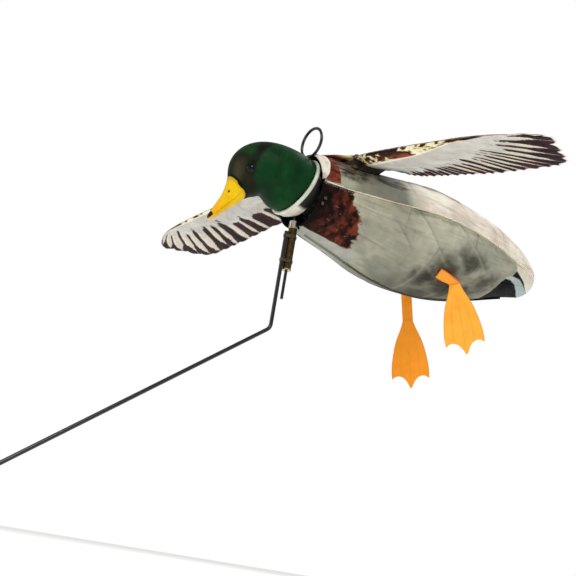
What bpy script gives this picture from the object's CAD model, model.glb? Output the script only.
"""Looks of the wind-driven mallard drake decoy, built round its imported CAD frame.

Lengths are in millimetres from the top of the swivel tube until to_row() turns them into
the frame's metres.  The duck looks along -X and its left side is at -Y.
"""

import bpy
import numpy as np
from mathutils import Matrix, Vector

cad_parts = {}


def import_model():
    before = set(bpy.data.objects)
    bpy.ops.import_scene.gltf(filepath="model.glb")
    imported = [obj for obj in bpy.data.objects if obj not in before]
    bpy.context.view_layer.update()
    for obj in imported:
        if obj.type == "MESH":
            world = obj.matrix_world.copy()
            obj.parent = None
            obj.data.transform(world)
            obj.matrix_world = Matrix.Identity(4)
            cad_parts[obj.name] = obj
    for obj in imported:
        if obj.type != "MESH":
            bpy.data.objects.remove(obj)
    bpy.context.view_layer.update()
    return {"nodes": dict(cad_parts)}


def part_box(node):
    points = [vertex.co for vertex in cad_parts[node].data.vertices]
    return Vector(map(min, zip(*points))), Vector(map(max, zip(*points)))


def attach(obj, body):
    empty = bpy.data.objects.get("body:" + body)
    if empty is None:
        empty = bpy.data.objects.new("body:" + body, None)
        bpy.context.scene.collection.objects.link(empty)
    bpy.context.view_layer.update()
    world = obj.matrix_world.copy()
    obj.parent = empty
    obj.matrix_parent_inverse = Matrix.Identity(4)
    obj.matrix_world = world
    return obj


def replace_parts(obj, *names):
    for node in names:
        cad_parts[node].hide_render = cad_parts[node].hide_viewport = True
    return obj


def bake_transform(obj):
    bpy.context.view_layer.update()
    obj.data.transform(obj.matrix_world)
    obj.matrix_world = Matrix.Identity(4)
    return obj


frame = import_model()
NODES = frame["nodes"]
MM = 0.001
LEFT, RIGHT = -1, 1
SIDES = {LEFT: "left", RIGHT: "right"}
tube_low, tube_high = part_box("swivel_tube")
ORIGIN = np.array([(tube_low.x + tube_high.x) / 2, 0.0, tube_high.z])


def to_row(points):
    return np.asarray(points, float) * MM + ORIGIN


# --- numbers ---------------------------------------------------------------------------

def cubic(knots, values, at):
    """Natural cubic curve through values at knots."""
    k, v, at = (np.asarray(a, float) for a in (knots, values, at))
    n, h = len(k), np.diff(k)
    system, right = np.eye(n), np.zeros(n)
    for i in range(1, n - 1):
        system[i, i - 1:i + 2] = h[i - 1], 2 * (h[i - 1] + h[i]), h[i]
        right[i] = 6 * ((v[i + 1] - v[i]) / h[i] - (v[i] - v[i - 1]) / h[i - 1])
    m = np.linalg.solve(system, right)
    i = np.clip(np.searchsorted(k, at) - 1, 0, n - 2)
    x, y = at - k[i], k[i + 1] - at
    bent = (m[i] * y**3 + m[i + 1] * x**3) / (6 * h[i])
    return bent + (v[i] / h[i] - m[i] * h[i] / 6) * y + (v[i + 1] / h[i] - m[i + 1] * h[i] / 6) * x


def smooth(low, high, at):
    t = np.clip((at - low) / (high - low), 0, 1)
    return t * t * (3 - 2 * t)


def noise(points, size, seed=0):
    """Smooth noise from -1 to 1 with features of a size in millimetres, one or three sizes."""
    q = np.asarray(points, float) / np.asarray(size, float)
    cell = np.floor(q).astype(np.int64)
    f = q - cell
    f = f * f * (3 - 2 * f)
    total = np.zeros(q.shape[:-1])
    for corner in np.ndindex(2, 2, 2):
        at = cell + np.array(corner)
        key = (at[..., 0] * 73856093) ^ (at[..., 1] * 19349663) ^ (at[..., 2] * 83492791)
        key = (key ^ (seed * 2654435761)) & 0xFFFFFFFF
        key = ((key ^ (key >> 15)) * 2246822519) & 0xFFFFFFFF
        key = ((key ^ (key >> 13)) * 3266489917) & 0xFFFFFFFF
        value = ((key ^ (key >> 16)) & 0xFFFF) / 32767.5 - 1
        weight = np.prod(np.where(corner, f, 1 - f), axis=-1)
        total += weight * value
    return total


def layered(points, size, seed=0, octaves=3):
    total, share = 0.0, 1.0
    for i in range(octaves):
        total = total + share * noise(points, np.asarray(size, float) / 2**i, seed + i)
        share *= 0.55
    return total


def colour(code):
    """A colour code as linear light."""
    c = np.array([int(code[i:i + 2], 16) for i in (1, 3, 5)]) / 255
    return np.where(c < 0.04045, c / 12.92, ((c + 0.055) / 1.055) ** 2.4)


def xyz(*parts):
    """Points from their three coordinates, each spread over the others' shape."""
    return np.stack(np.broadcast_arrays(*parts), -1)


def mixed(paint, other, amount):
    """A paint with another over it, by an amount from 0 to 1 at each point."""
    amount = np.clip(np.broadcast_to(amount, paint.shape[:-1]), 0, 1)[..., None]
    return paint * (1 - amount) + other * amount


def over(paint, code, amount):
    return mixed(paint, colour(code), amount)


def coats(paint, *layers):
    """A paint with layers over it, each a colour code and an amount."""
    for code, amount in layers:
        paint = over(paint, code, amount)
    return paint


def painted(shape, code):
    return np.broadcast_to(colour(code), (*shape, 3)).copy()


# --- meshes ----------------------------------------------------------------------------

def grid_faces(rows, cols, closed, keep=None):
    index = np.arange(rows * cols).reshape(rows, cols)
    here = index if closed else index[:, :-1]
    beside = np.roll(index, -1, 1) if closed else index[:, 1:]
    faces = np.stack([here[:-1], beside[:-1], beside[1:], here[1:]], -1)
    return faces.reshape(-1, 4) if keep is None else faces[keep]


def piece(name, points, faces, paint, flat=None):
    """A mesh piece with its paint, its resting place and a flat map in millimetres."""
    points = np.asarray(points, float).reshape(-1, 3)
    mesh = bpy.data.meshes.new(name)
    mesh.from_pydata(to_row(points).tolist(), [], [list(map(int, f)) for f in faces])
    rgba = np.ones((len(points), 4), np.float32)
    rgba[:, :3] = np.asarray(paint).reshape(-1, 3)
    mesh.color_attributes.new("Paint", "FLOAT_COLOR", "POINT").data.foreach_set("color", rgba.ravel())
    rest = mesh.attributes.new("Rest", "FLOAT_VECTOR", "POINT")
    rest.data.foreach_set("vector", (points * MM).astype(np.float32).ravel())
    flat = points[:, :2] if flat is None else np.asarray(flat, float).reshape(-1, 2)
    corners = np.empty(len(mesh.loops), np.int32)
    mesh.loops.foreach_get("vertex_index", corners)
    layer = mesh.uv_layers.new(name="Flat")
    layer.uv.foreach_set("vector", (flat[corners] * MM).astype(np.float32).ravel())
    mesh.update()
    for polygon in mesh.polygons:
        polygon.use_smooth = True
    made = bpy.data.objects.new(name, mesh)
    bpy.context.scene.collection.objects.link(made)
    return made


CUTS = {}


def cut_size(grid, closed):
    """Width, length and area in metres of the cloth that a grid of points is cut from."""
    whole = np.concatenate([grid, grid[:, :1]], 1) if closed else grid
    down = np.linalg.norm(np.diff(whole, axis=0), axis=2).sum(0).max()
    across = np.linalg.norm(np.diff(whole, axis=1), axis=2).sum(1).max()
    crossed = np.cross(whole[1:, 1:] - whole[:-1, :-1], whole[1:, :-1] - whole[:-1, 1:])
    return down * MM, across * MM, np.linalg.norm(crossed, axis=2).sum() / 2 * MM * MM


def grid_piece(name, grid, paint, closed=False, keep=None, caps=False):
    rows, cols = grid.shape[:2]
    CUTS[name] = cut_size(grid, closed)
    faces = [tuple(f) for f in grid_faces(rows, cols, closed, keep)]
    if caps:
        index = np.arange(rows * cols).reshape(rows, cols)
        faces += [tuple(index[0][::-1]), tuple(index[-1])]
    down = np.linalg.norm(np.diff(grid, axis=0), axis=2).mean(1)
    across = np.linalg.norm(np.diff(grid, axis=1), axis=2).mean(0)
    flat = np.stack(np.meshgrid(np.r_[0, np.cumsum(down)], np.r_[0, np.cumsum(across)], indexing="ij"), -1)
    return piece(name, grid, faces, paint, flat)


OUTSIDE, CENTRED = 1.0, 0.0
CLOTH_T, EDGE_T, THIN_T, GUSSET_T = 0.9, 0.8, 0.7, 0.6


def thicken(made, thickness, offset):
    """Thickness in millimetres, put outside the drawn surface or half on each side of it."""
    solid = made.modifiers.new("Thickness", "SOLIDIFY")
    solid.thickness, solid.offset = thickness * MM, offset


def normals(grid):
    n = np.cross(np.gradient(grid, axis=0), np.gradient(grid, axis=1))
    return n / np.maximum(np.linalg.norm(n, axis=-1, keepdims=True), 1e-9)


# --- materials -------------------------------------------------------------------------

WAVE_LENGTH = 314.16  # millimetres to one wave of a wave texture at scale 1


def surface(name, tint=None, rough=0.5, spread=0.08, mottle=(), bumps=(), weave=None, **sockets):
    """A node material. mottle: (features per metre, darkest, lightest); bumps: (features per metre,
    height in millimetres); weave: (thread pitch in millimetres, height)."""
    mat = bpy.data.materials.new(name)
    mat.use_nodes = True
    tree = mat.node_tree
    shader = tree.nodes["Principled BSDF"]

    def add(kind, **values):
        node = tree.nodes.new(kind)
        for key, value in values.items():
            if hasattr(node, key):
                setattr(node, key, value)
            else:
                node.inputs[key.replace("_", " ").title()].default_value = value
        return node

    def join(source, target):
        tree.links.new(source, target)

    if tint is None:
        place = add("ShaderNodeAttribute", attribute_name="Rest").outputs["Vector"]
        base = add("ShaderNodeAttribute", attribute_name="Paint").outputs["Color"]
    else:
        place = add("ShaderNodeTexCoord").outputs["Object"]
        base = None

    def cloud(scale, detail=3.0):
        node = add("ShaderNodeTexNoise", scale=scale, detail=detail)
        join(place, node.inputs["Vector"])
        return node.outputs["Fac"]

    def ranged(source, low, high):
        node = add("ShaderNodeMapRange")
        node.inputs["From Min"].default_value = 0.3
        node.inputs["From Max"].default_value = 0.7
        node.inputs["To Min"].default_value = low
        node.inputs["To Max"].default_value = high
        join(source, node.inputs["Value"])
        return node.outputs["Result"]

    for scale, low, high in mottle:
        mix = add("ShaderNodeMix", data_type="RGBA", blend_type="MULTIPLY")
        mix.inputs[0].default_value = 1.0
        if base is None:
            mix.inputs[6].default_value = (*colour(tint), 1)
        else:
            join(base, mix.inputs[6])
        grey = add("ShaderNodeCombineColor")
        level = ranged(cloud(scale), low, high)
        for channel in ("Red", "Green", "Blue"):
            join(level, grey.inputs[channel])
        join(grey.outputs["Color"], mix.inputs[7])
        base = mix.outputs[2]
    if base is None:
        shader.inputs["Base Color"].default_value = (*colour(tint), 1)
    else:
        join(base, shader.inputs["Base Color"])

    if spread:
        join(ranged(cloud(180, 2.0), rough - spread, rough + spread), shader.inputs["Roughness"])
    else:
        shader.inputs["Roughness"].default_value = rough

    heights = []
    for scale, height in bumps:
        scaled = add("ShaderNodeMath", operation="MULTIPLY")
        join(cloud(scale, 4.0), scaled.inputs[0])
        scaled.inputs[1].default_value = height
        heights.append(scaled.outputs[0])
    if weave:
        pitch, height = weave
        flat = add("ShaderNodeUVMap", uv_map="Flat").outputs["UV"]
        for direction in ("X", "Y"):
            wave = add("ShaderNodeTexWave", wave_type="BANDS", bands_direction=direction)
            wave.inputs["Scale"].default_value = WAVE_LENGTH / pitch
            wave.inputs["Distortion"].default_value = 0.6
            join(flat, wave.inputs["Vector"])
            scaled = add("ShaderNodeMath", operation="MULTIPLY")
            join(wave.outputs["Fac"], scaled.inputs[0])
            scaled.inputs[1].default_value = height
            heights.append(scaled.outputs[0])
    if heights:
        total = heights[0]
        for other in heights[1:]:
            plus = add("ShaderNodeMath", operation="ADD")
            join(total, plus.inputs[0])
            join(other, plus.inputs[1])
            total = plus.outputs[0]
        bump = add("ShaderNodeBump")
        bump.inputs["Strength"].default_value = 1.0
        bump.inputs["Distance"].default_value = MM
        join(total, bump.inputs["Height"])
        join(bump.outputs["Normal"], shader.inputs["Normal"])
    for key, value in sockets.items():
        shader.inputs[key.replace("_", " ")].default_value = value
    return mat


def dress(made, mat):
    made.data.materials.clear()
    made.data.materials.append(mat)
    return made


def fitted(name, grid, paint, mat, slot, stands_for=None, cloth=None, turned=False, **shape):
    """A piece that rides on the decoy. turned: its grid runs the other way across, so that its
    faces look outward; cloth: (thickness, offset)."""
    if turned:
        grid, paint = grid[:, ::-1], paint[:, ::-1]
    made = dress(grid_piece(name, grid, paint, **shape), mat)
    if cloth:
        thicken(made, *cloth)
    if stands_for:
        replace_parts(made, stands_for)
    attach(made, "decoy")
    return made


CLOTH = surface("printed_polyester", rough=0.62, mottle=[(90, 0.9, 1.08), (900, 0.93, 1.05)],
                bumps=[(60, 0.8), (420, 0.1)], weave=(0.9, 0.03), Specular_IOR_Level=0.06)
BREAST = surface("brown_feather_print", rough=0.66, mottle=[(260, 0.7, 1.25), (900, 0.9, 1.08)],
                 bumps=[(150, 0.6), (500, 0.12)], weave=(0.9, 0.03), Specular_IOR_Level=0.05)
WING = surface("wing_print", rough=0.55, mottle=[(70, 0.93, 1.06), (600, 0.94, 1.05)],
               bumps=[(45, 0.6), (300, 0.1)], weave=(0.9, 0.03), Specular_IOR_Level=0.06)
HEAD = surface("moulded_head_paint", rough=0.48, mottle=[(60, 0.9, 1.1), (700, 0.92, 1.06)],
               bumps=[(500, 0.08), (90, 0.15)], Specular_IOR_Level=0.07)
BILL = surface("bill_paint", rough=0.4, mottle=[(120, 0.93, 1.06), (900, 0.96, 1.03)],
               bumps=[(300, 0.1)], Specular_IOR_Level=0.14)
RUBBER_RING = surface("neck_ring_plastic", rough=0.5, mottle=[(150, 0.93, 1.04)], bumps=[(250, 0.08)],
                      Specular_IOR_Level=0.45)
FOAM = surface("orange_foam", rough=0.72, mottle=[(80, 0.94, 1.04), (1300, 0.93, 1.05)],
               bumps=[(1500, 0.09), (120, 0.15)], Specular_IOR_Level=0.3)
BLACK_STEEL = surface("black_steel", "#0c0b0a", rough=0.24, spread=0.03, mottle=[(45, 0.85, 1.2)],
                      Specular_IOR_Level=0.6)
BRONZE = surface("tube_bronze", "#4a3a1f", rough=0.3, mottle=[(200, 0.7, 1.4)], bumps=[(400, 0.02)],
                 Metallic=0.9)
BRASS = surface("bush_brass", "#c9b98a", rough=0.26, mottle=[(300, 0.85, 1.1)], bumps=[(600, 0.03)],
                Metallic=1.0)
BRIGHT = surface("bright_steel", "#c9c9c4", rough=0.24, mottle=[(300, 0.85, 1.05)],
                 bumps=[(700, 0.03)], Metallic=1.0)
BAND = surface("clamp_band_steel", "#5c5648", rough=0.3, mottle=[(150, 0.6, 1.3)], bumps=[(500, 0.03)],
               Metallic=1.0)
SCREW = surface("screw_steel", "#77746c", rough=0.32, mottle=[(400, 0.8, 1.1)], bumps=[(900, 0.03)],
                Metallic=1.0)
HUB = surface("hub_plastic", "#0d0d0f", rough=0.45, mottle=[(300, 0.85, 1.15)],
              bumps=[(1200, 0.03)], Specular_IOR_Level=0.25)
GLASS_ROD = surface("glass_fibre_rod", "#9c9a86", rough=0.35, mottle=[(400, 0.85, 1.1)],
                    bumps=[(1500, 0.03)], Specular_IOR_Level=0.5)
EYE = surface("eye_black", "#020202", rough=0.07, spread=0.02, mottle=[(400, 0.8, 1.2)],
              Specular_IOR_Level=0.25)

for material, names in {
    BLACK_STEEL: ["ground_stake", "spindle_wire", "mouth_hoop"],
    BRONZE: ["swivel_tube"],
    BRASS: ["upper_bush", "lower_bush"],
    BAND: ["clamp_band_upper", "clamp_band_lower"],
    BRIGHT: ["thrust_washer", "spindle_collar"],
    SCREW: ["mouth_studs", "collar_grub_screw", "hub_screws", "hinge_pin_left", "hinge_pin_right"],
    HUB: ["wing_hub", "spar_socket_left", "spar_socket_right", "tail_batten"],
    GLASS_ROD: ["backbone", "wing_spar_left", "wing_spar_right"],
}.items():
    for node_name in names:
        dress(NODES[node_name], material)

# --- body sock -------------------------------------------------------------------------

# x, centre height, half height, half width
SOCK = np.array([
    (3.0, 53.5, 50.5, 46.0), (55.0, 52.0, 60.0, 56.0), (115.0, 48.5, 69.5, 66.0),
    (195.0, 51.0, 79.0, 73.0), (285.0, 60.0, 74.0, 70.0), (365.0, 65.0, 54.0, 57.0),
    (415.0, 64.0, 37.0, 42.0), (438.0, 58.0, 25.0, 31.0)])
SEAM = np.array([(-15.0, 60.0), (80.0, 61.0), (195.0, 71.0), (265.0, 69.0), (367.0, 60.0), (475.0, 58.0)])
MOUTH_X, TAIL_X = 3.2, 437.0
WIRE_NOTCH = 8.3
ARMHOLE_X, ARMHOLE_FROM_CREST = (54, 96), (3.5, 37)


def sock_at(x):
    return [cubic(SOCK[:, 0], SOCK[:, i], x) for i in (1, 2, 3)]


def sock_points(x, angle, out=0.0):
    """Points of the sock; the angle is 0 at the side, -90 at the belly, in degrees."""
    zc, hh, hw = sock_at(x)
    a = np.radians(angle)
    return xyz(x, (hw + out) * np.cos(a), zc + (hh + out) * np.sin(a))


def sock_top(x, y):
    """Height of the sock's back at a place."""
    zc, hh, hw = sock_at(x)
    return np.where(np.abs(y) < 0.98 * hw, zc + hh * np.sqrt(np.maximum(0.0, 1 - (y / hw) ** 2)), -500.0)


def seam_angle(x):
    zc, hh, _ = sock_at(x)
    share = (cubic(SEAM[:, 0], SEAM[:, 1], x) - zc) / hh
    return np.degrees(np.arcsin(np.clip(share, -1, 1)))


def creases(place):
    """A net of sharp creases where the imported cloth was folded."""
    net = 0.0
    for turn, seed in ((0.25, 91), (1.35, 93), (-0.7, 95)):
        along_x = place[..., 0] * np.cos(turn) + place[..., 1] * np.sin(turn)
        across = place[..., 1] * np.cos(turn) - place[..., 0] * np.sin(turn)
        turned = xyz(along_x, across, place[..., 2])
        line = (1 - np.abs(noise(turned, (150, 30, 50), seed))) ** 14
        net = np.maximum(net, line * smooth(-0.1, 0.5, noise(turned, (60, 50, 50), seed + 1)))
    return net


def folds(x, angle, side):
    """How far the cloth stands out: soft billows, puckers along the seam, crossing creases."""
    place = xyz(x, angle * 1.2, 40.0 * side)
    out = 1.5 * noise(place, (70, 60, 50), 3) + 0.8 * noise(place, (34, 26, 50), 5)
    from_seam = np.abs(angle - seam_angle(x))
    pucker = noise(place, (7, 200, 50), 8) * np.exp(-(from_seam / 9) ** 2)
    out += 1.1 * pucker * smooth(10, 40, x)
    drag = noise(xyz(x * 0.5 + angle * 0.9, angle * 0.2 - x * 0.05, place[..., 2]), 9, 11)
    out += 1.3 * np.clip(drag - 0.2, 0, 1) * smooth(60, 130, x)
    out -= 1.1 * creases(place)
    for crease_x in (152.0, 246.0, 332.0):
        out -= 1.0 * np.exp(-((x - crease_x + 0.04 * angle) / 1.8) ** 2)
    for crease_a in (-8.0, -41.0):
        out -= 0.9 * np.exp(-((angle - crease_a + 2 * noise(place, 40, 14)) / 1.3) ** 2)
    return out * smooth(3, 20, x) * smooth(438, 415, x)


def breast_edge(angle):
    """How far back the brown breast reaches."""
    return np.interp(angle, [-90, -67, -44, -33, -24, -15, -10, -3, 5, 17, 40],
                     [80, 77, 73, 71, 67, 61, 52, 49, 50, 57, 60])


def tail_line(x, line):
    """The angle of one of the tail's printed edges."""
    knots, values = {
        "black": ([344, 346, 354, 368, 386, 410, 430, 438], [-80, -45, -34, -35, -42, -60, -82, -88]),
        "band": ([344, 350, 365, 392, 418, 430, 438], [-80, -33, -28, -31, -43, -52, -60]),
        "sliver": ([360, 366, 374, 383, 406, 420, 438], [-34, -28, -18, -22, -32, -42, -58]),
    }[line]
    return np.interp(x, knots, values)


# x, angle, half width, half height and darkness of the grey blots on the flank
BLOTS = [(224, -36, 38, 22, 0.85), (196, -58, 34, 20, 0.85), (208, -80, 52, 14, 0.75),
         (266, -22, 44, 20, 0.75), (250, -60, 66, 20, 0.85), (314, -46, 44, 20, 0.7)]


def side_paint(x, angle, side):
    """Pale grey flank with dark blots, brown breast, and the tail's black, blue-grey and white."""
    place = xyz(x, angle * 1.25, 90.0 * side)
    cloudy = layered(place, (46, 30, 40), 21)
    paint = coats(
        painted(x.shape, "#b2b09b"),
        ("#7f8072", 0.75 * smooth(10, -75, angle)),
        ("#c9c5b0", 0.5 * smooth(170, 80, x) * smooth(-60, 20, angle)),
        ("#8b8c7f", 0.55 * smooth(-0.1, 0.7, cloudy)),
        ("#c4c1ad", 0.4 * smooth(0.1, 0.8, -cloudy)))
    blots = 0.0
    for at_x, at_angle, wide, tall, dark in BLOTS:
        far = np.hypot((x - at_x) / wide, (angle - at_angle) / tall) + 0.4 * layered(place, (22, 16, 40), 25)
        blots = np.maximum(blots, dark * smooth(1.15, 0.15, far))
    low = smooth(-42, -80, angle + 8 * cloudy) * smooth(90, 180, x) * smooth(350, 300, x)
    rust = np.hypot((x - 232) / 38, (angle + 42) / 17)
    net = creases(place)
    beside = creases(place + np.array([1.8, 1.5, 0]))
    barbs = noise(place, (26, 1.7, 40), 27)
    paint = coats(
        paint,
        ("#34332c", 1.15 * blots),
        ("#4a4841", 0.7 * low),
        ("#6b4c3a", 0.5 * smooth(1.0, 0.2, rust + 0.3 * cloudy)),
        ("#6c6b5e", 0.55 * net * smooth(60, 110, x)),
        ("#dad6c2", 0.35 * beside * (1 - net) * smooth(60, 110, x)),
        ("#6f7064", 0.28 * smooth(0.1, 0.8, barbs)))
    # breast
    edge = breast_edge(angle) + 3.2 * layered(place, (9, 6, 30), 31) + 1.5 * noise(place, (3, 2.2, 20), 33)
    low_edge = -75.5 + 0.095 * x + 0.8 * noise(place, (8, 4, 30), 35)
    breast = smooth(edge + 1.2, edge - 1.2, x) * smooth(low_edge - 1, low_edge + 1, angle)
    paint = over(paint, "#a8aaa0", 0.8 * smooth(110, 70, x) * smooth(low_edge + 4, low_edge, angle))
    streak = layered(place, (5.5, 13, 30), 37)
    flecks = noise(place, (3.5, 3.0, 20), 41)
    brown = coats(
        painted(x.shape, "#3c1a13"),
        ("#6b3020", smooth(0.0, 0.8, streak) * smooth(5, 55, x)),
        ("#7d3a26", 0.8 * smooth(edge - 16, edge - 3, x) * smooth(-0.5, 0.5, streak)),
        ("#1b0f0c", smooth(0.0, 0.6, -streak)),
        ("#0e0807", smooth(40, 8, x + 9 * streak + 0.1 * np.abs(angle))),
        ("#a08d80", 0.55 * smooth(0.62, 0.85, flecks) * smooth(12, 40, x)))
    paint = mixed(paint, brown, breast)
    # tail
    white = smooth(-1.5, 1.5, angle - tail_line(x, "sliver")) * smooth(368, 380, x + 0.35 * (angle + 20))
    sliver = smooth(-1, 1, angle - tail_line(x, "band")) * smooth(1, -1, angle - tail_line(x, "sliver"))
    band = smooth(-1, 1, angle - tail_line(x, "black")) * smooth(1, -1, angle - tail_line(x, "band"))
    black = smooth(1, -1, angle - tail_line(x, "black")) * smooth(343, 346, x)
    paint = coats(
        paint,
        ("#e4ddcd", white),
        ("#7d5a48", 0.7 * white * smooth(0.3, 0.8, noise(place, (30, 2.4, 20), 43))),
        ("#0d0c0c", sliver * smooth(360, 364, x)),
        ("#a9b7b4", band * smooth(350, 356, x)),
        ("#030303", black))
    # stitching beside the seam
    from_seam = seam_angle(x) - angle
    stitch = np.exp(-((from_seam - 2.2) / 0.5) ** 2) * smooth(0.0, 0.5, np.sin(x * 1.9))
    return over(paint, "#d9d4c0", 0.6 * stitch)


def body_side(side):
    """One side of the sock, from the belly up to its seam with the back."""
    s = np.linspace(0, 1, 300)[:, None]
    t = np.linspace(0, 1, 110)[None, :]
    x0 = MOUTH_X + (TAIL_X - MOUTH_X) * s + 0 * t
    angle = -90 + (seam_angle(x0) - 0.2 + 90) * t
    y0 = np.abs(sock_points(x0, angle)[..., 1])
    notch = np.maximum(MOUTH_X, np.sqrt(np.maximum(0, WIRE_NOTCH**2 - y0**2)))
    x = notch + (TAIL_X - notch) * s
    out = folds(x, angle, side)
    tail_patch = smooth(-1.5, 1.5, angle - tail_line(x, "band")) * smooth(376, 366, x + 0.3 * (angle + 20))
    out += 0.9 * tail_patch * smooth(340, 352, x)
    grid = sock_points(x, angle, out)
    grid[..., 1] *= side
    return fitted(f"sock_side_{SIDES[side]}", grid, side_paint(x, angle, side), CLOTH, "side_fabric",
                  f"body_side_{SIDES[side]}", (CLOTH_T, OUTSIDE), turned=side == RIGHT)


def back_paint(x, angle):
    """Cream back with a scaled brown crest, black rump and shadow in the armholes."""
    place = xyz(x, angle * 1.25, 0.0)
    crest = 90 - np.abs(angle - 90)
    cloudy = layered(place, (40, 26, 40), 51)
    blush = smooth(0.0, 0.7, noise(place, (50, 12, 40), 53))
    grey = smooth(185, 120, x + 14 * cloudy)
    dark = np.exp(-((x - 118 - 5 * cloudy) / 26) ** 2) * smooth(30, 42, crest)
    from_armhole = np.hypot((x - 44) / 38, (crest - 49) / 23)
    pit = smooth(1.1, 0.5, from_armhole + 0.3 * layered(place, (12, 12, 40), 55))
    brown = smooth(50, 60, crest + 6 * cloudy)
    rows = np.abs(((x / 13.0 + 0.5 * np.floor(crest / 9.0)) % 1.0) - 0.5)
    across = np.abs((crest / 9.0) % 1.0 - 0.5)
    scale_edge = smooth(0.40, 0.47, rows) + smooth(0.42, 0.48, across)
    barbs = noise(place, (24, 1.8, 40), 57)
    paint = coats(
        painted(x.shape, "#efe6d6"),
        ("#c9b8a6", 0.6 * smooth(-0.2, 0.7, cloudy)),
        ("#d9b8a4", 0.35 * blush * smooth(250, 330, x)),
        ("#9fa092", grey),
        ("#35312b", 0.95 * smooth(0.15, 0.6, dark)),
        ("#a9a996", 0.8 * smooth(95, 60, x) * smooth(52, 36, crest)),
        ("#1f1d16", 0.97 * pit),
        ("#5b4526", 0.8 * pit * smooth(0.15, 0.5, layered(place, (8, 8, 40), 56))),
        ("#a09684", 0.55 * creases(place)),
        ("#4a352a", 0.9 * brown),
        ("#8a7660", 0.6 * brown * np.clip(scale_edge, 0, 1)),
        ("#b3a694", 0.35 * smooth(0.1, 0.8, barbs)))
    rump = smooth(345, 375, x + 5 * cloudy) * smooth(40, 52, crest)
    return over(paint, "#141312", rump)


def back():
    """The sock's back, from seam to seam over the crest, with its two armholes."""
    s = np.linspace(0, 1, 280)[:, None]
    t = np.linspace(0, 1, 150)[None, :]
    x = MOUTH_X + (TAIL_X - MOUTH_X) * s + 0 * t
    low = seam_angle(x)
    angle = low + (180 - 2 * low) * t
    mirrored = np.where(angle > 90, 180 - angle, angle)
    left = smooth(85, 95, angle)
    out = folds(x, mirrored, RIGHT) * (1 - left) + folds(x, mirrored, LEFT) * left
    out -= 4.0 * smooth(200, 300, x) * smooth(10, 50, mirrored) * smooth(438, 415, x)
    grid = sock_points(x, angle, out)
    middle_x = (x[:-1, :-1] + x[1:, 1:]) / 2
    from_crest = np.abs((angle[:-1, :-1] + angle[1:, 1:]) / 2 - 90)
    hole = np.full(middle_x.shape, True)
    for at, (low_end, high_end) in ((middle_x, ARMHOLE_X), (from_crest, ARMHOLE_FROM_CREST)):
        hole &= (at > low_end) & (at < high_end)
    return fitted("sock_back", grid, back_paint(x, angle), CLOTH, "back_fabric", "back_panel",
                  (CLOTH_T, OUTSIDE), turned=True, keep=~hole[:, ::-1])


def yoke():
    """Brown cover over the shoulders, shorter on the flanks."""
    s = np.linspace(0, 1, 50)[:, None]
    t = np.linspace(0, 1, 170)[None, :]
    low = seam_angle(3.4 + 48.6 * s) + 4.0
    angle = low + (180 - 2 * low) * t
    crest = 90 - np.abs(angle - 90)
    x = 3.4 + (24 + 24 * smooth(60, 78, crest)) * s
    place = xyz(x, angle * 1.25, 0.0)
    out = 1.5 + 0.5 * noise(place, (18, 26, 30), 61) + 0.35 * noise(place, (5, 14, 30), 63)
    mirrored = np.where(angle > 90, 180 - angle, angle)
    out += folds(x, mirrored, LEFT)
    streak = layered(place, (12, 5, 30), 65)
    paint = coats(
        painted(x.shape, "#6e3022"),
        ("#8d4733", 0.8 * smooth(0.0, 0.8, streak)),
        ("#3a1812", 0.8 * smooth(0.0, 0.7, -streak)))
    return fitted("shoulder_yoke", sock_points(x, angle, out), paint, BREAST, "breast_fabric",
                  "shoulder_cover", (THIN_T, OUTSIDE), turned=True)


def seam_flap(side):
    """Turned-out edge of the back that shows as a pale line."""
    x = np.linspace(8, 430, 330)[:, None]
    zc, hh, hw = sock_at(x)
    z = cubic(SEAM[:, 0], SEAM[:, 1], x)
    tall = 1.6 + 5.0 * smooth(48, 80, x) * smooth(432, 405, x)
    q = np.linspace(0, 1, 9)[None, :]
    y_in = hw * np.sqrt(1 - ((z - zc) / hh) ** 2)
    y_out = (hw + tall) * np.sqrt(1 - ((z - zc) / (hh + tall)) ** 2)
    y = y_in - 0.6 + (y_out - y_in + 0.6) * q
    place = xyz(x, 0 * y, side * 20)
    wave = (0.9 * noise(place, 14, 71) + 0.5 * noise(place, 5, 73)) * q**1.5
    sag = -1.6 * q**2 * smooth(60, 100, x)
    grid = xyz(x, side * y, z + wave + sag)
    paint = coats(
        painted(y.shape, "#ece5d2"),
        ("#c9b9a0", 0.5 * smooth(0.0, 0.8, noise(place, (16, 5, 5), 75))),
        ("#8a6350", 0.5 * smooth(0.3, 0.9, noise(place, (9, 5, 5), 77)) * smooth(130, 60, x)))
    return fitted(f"seam_edge_{SIDES[side]}", grid, paint, CLOTH, "seam_fabric", f"seam_flap_{SIDES[side]}",
                  (EDGE_T, CENTRED), turned=side == RIGHT)


def belly_edge():
    """Edge of the seam under the belly."""
    x = np.linspace(20, 400, 240)[:, None]
    zc, hh, _ = sock_at(x)
    q = np.linspace(0, 1, 5)[None, :]
    wave = 0.5 * noise(xyz(x, 0 * q, 0.0), 11, 81) * q
    z = zc - hh + 0.6 - 3.4 * q
    paint = coats(
        painted(z.shape, "#57564c"),
        ("#8b8c83", smooth(120, 60, x)),
        ("#0c0c0c", smooth(342, 348, x)))
    return fitted("belly_edge", xyz(x, wave, z), paint, CLOTH, "seam_fabric", "belly_seam",
                  (CLOTH_T, CENTRED))


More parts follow.
